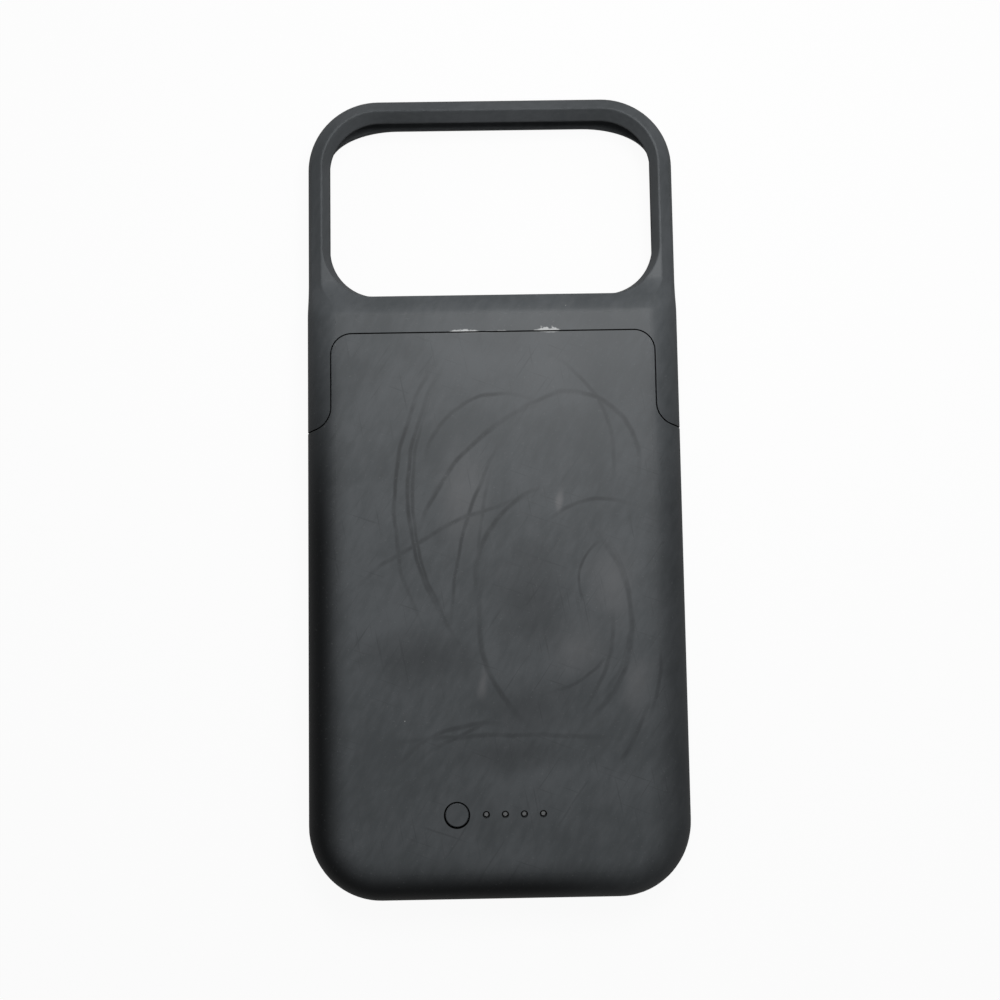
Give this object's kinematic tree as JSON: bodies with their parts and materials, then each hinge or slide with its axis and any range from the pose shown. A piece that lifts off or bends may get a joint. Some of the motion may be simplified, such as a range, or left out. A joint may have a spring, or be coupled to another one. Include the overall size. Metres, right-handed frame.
{
  "type": "battery charging case",
  "caption": "Slide-together battery case for a large phone: lower shell with cell, plug, socket and lit button, and a lift-off cap round a wide camera opening.",
  "frame": {"origin": "centre of the case's plan at the front rim that it lies on", "axes": "+Z out of the back panel, +Y towards the top of the phone and the cap, +X to the right seen from the back"},
  "size_m": [0.0834, 0.1774, 0.0182],
  "materials": {
    "soft_touch_shell": "soft-touch charcoal, smudged and lightly scuffed",
    "soft_touch_button": "soft-touch charcoal",
    "inner_plate": "fine matte texture",
    "switch_housing": "moulded",
    "switch_plunger": "moulded",
    "led_package": "clear top",
    "light_guide": "frosted clear",
    "circuit_board": "solder mask",
    "chip": "moulded",
    "ferrite": "pressed ferrite",
    "ceramic": "fired ceramic with tinned ends",
    "screw_steel": "zinc plated",
    "flex_film": "amber film",
    "connector_plastic": "moulded",
    "connector_steel": "nickel plated",
    "cell_pouch": "laminated foil",
    "tape": "double-sided tape",
    "nickel": "bright strip",
    "lead_red": "silicone",
    "lead_black": "silicone"
  },
  "bodies": {
    "body": {"body_shell": "soft_touch_shell", "phone_plate": "inner_plate", "switch_body": "switch_housing", "indicator_leds": "led_package", "light_guide": "light_guide", "main_board": "circuit_board", "charge_chip": "chip", "control_chip": "chip", "boost_inductor": "ferrite", "capacitors": "ceramic", "board_screws": "screw_steel", "board_flex": "flex_film", "plug_board": "circuit_board", "plug_base": "connector_plastic", "plug_shell": "connector_steel", "plug_insert": "connector_plastic", "socket_shell": "connector_steel", "socket_tongue": "connector_plastic", "battery_cell": "cell_pouch", "battery_tape": "tape", "cell_tabs": "nickel", "protection_board": "circuit_board", "positive_lead": "lead_red", "negative_lead": "lead_black"},
    "cap": {"top_cap": "soft_touch_shell"},
    "button": {"power_button": "soft_touch_button", "switch_plunger": "switch_plunger"}
  },
  "joints": [
    {"name": "cap_slide", "type": "slide", "parent": "body", "child": "cap", "axis": [0, 1, 0], "range_m": [0, 0.09]},
    {"name": "button_press", "type": "slide", "parent": "body", "child": "button", "axis": [0, 0, -1], "range_m": [0, 0.00035], "stiffness_N_per_m": 3000, "springref_m": -0.0001}
  ]
}
